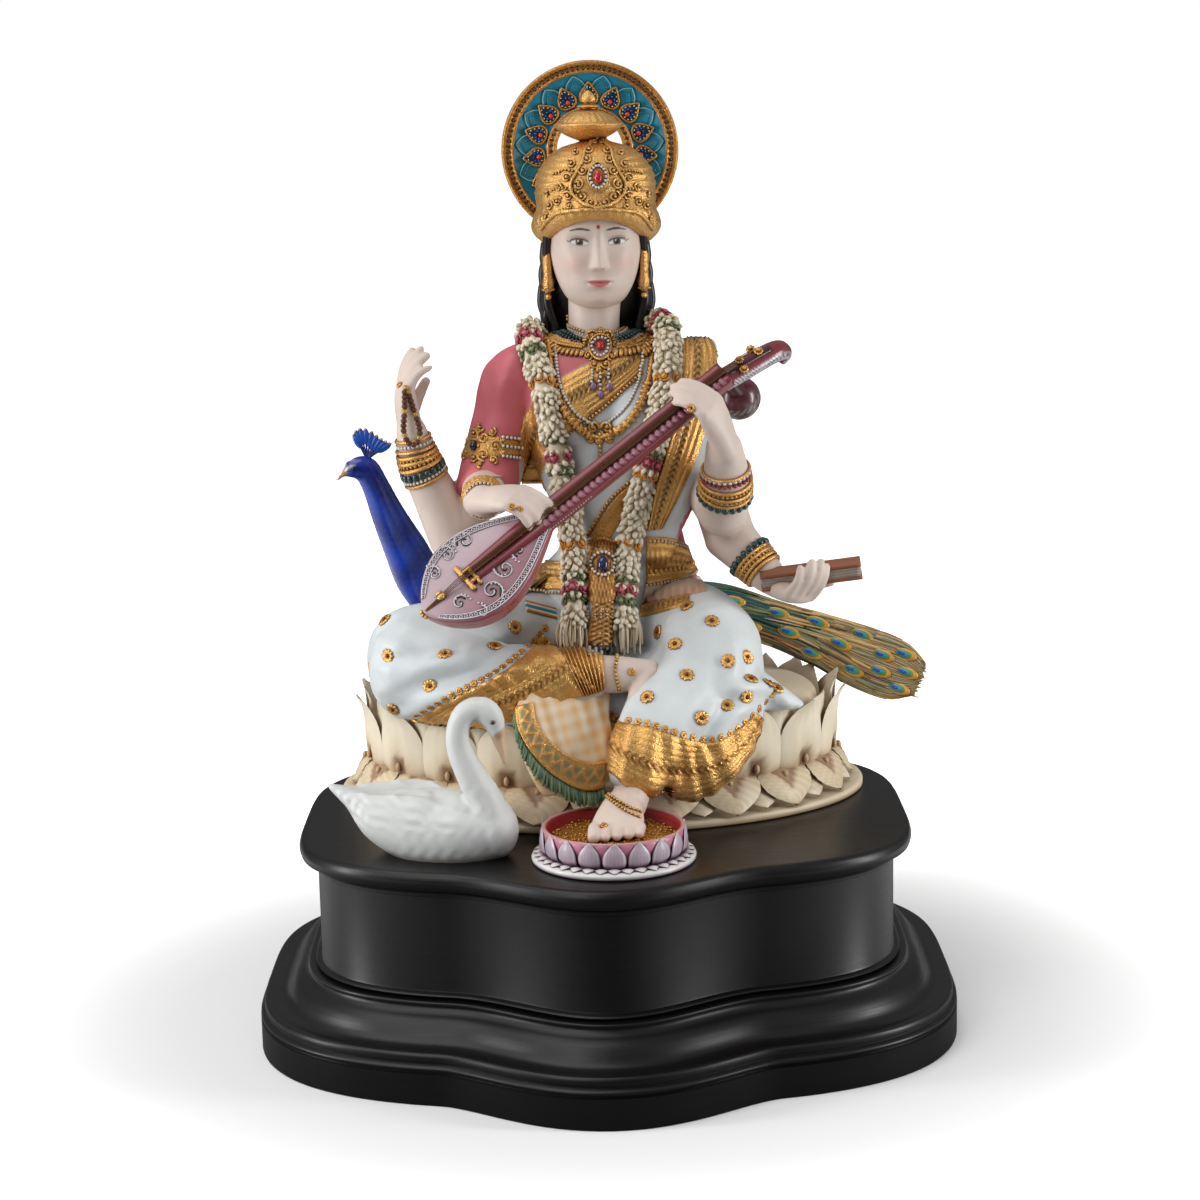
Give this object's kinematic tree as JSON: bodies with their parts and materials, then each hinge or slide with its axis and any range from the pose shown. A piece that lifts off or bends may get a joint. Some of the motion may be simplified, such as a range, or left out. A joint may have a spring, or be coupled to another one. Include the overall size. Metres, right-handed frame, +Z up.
{
  "type": "deity figure",
  "caption": "Seated Saraswati figure in painted porcelain with veena, book and prayer beads on a lotus throne, with a swan and a peacock, on a dark moulded wood plinth.",
  "frame": {"origin": "on the floor under the middle of the plinth's foot", "axes": "+Z up to the crown, -Y towards the front that the figure faces, +X to the right of a person who looks at the front"},
  "size_m": [0.444, 0.424, 0.6083],
  "materials": {
    "stained_wood": "satin",
    "cream_porcelain": "satin",
    "white_porcelain": "satin",
    "teal_and_gold_porcelain": "gloss",
    "maroon_porcelain": "satin",
    "blue_porcelain": "gloss",
    "lilac_porcelain": "gloss",
    "brown_porcelain": "satin"
  },
  "bodies": {
    "root": {"plinth_foot": "stained_wood", "plinth_die": "stained_wood", "plinth_cap": "stained_wood", "lotus_throne": "cream_porcelain", "goddess": "white_porcelain", "halo": "teal_and_gold_porcelain", "veena": "maroon_porcelain", "peacock": "blue_porcelain", "swan": "white_porcelain", "foot_lotus": "lilac_porcelain", "palm_leaf_book": "brown_porcelain", "prayer_beads": "brown_porcelain"}
  },
  "joints": []
}
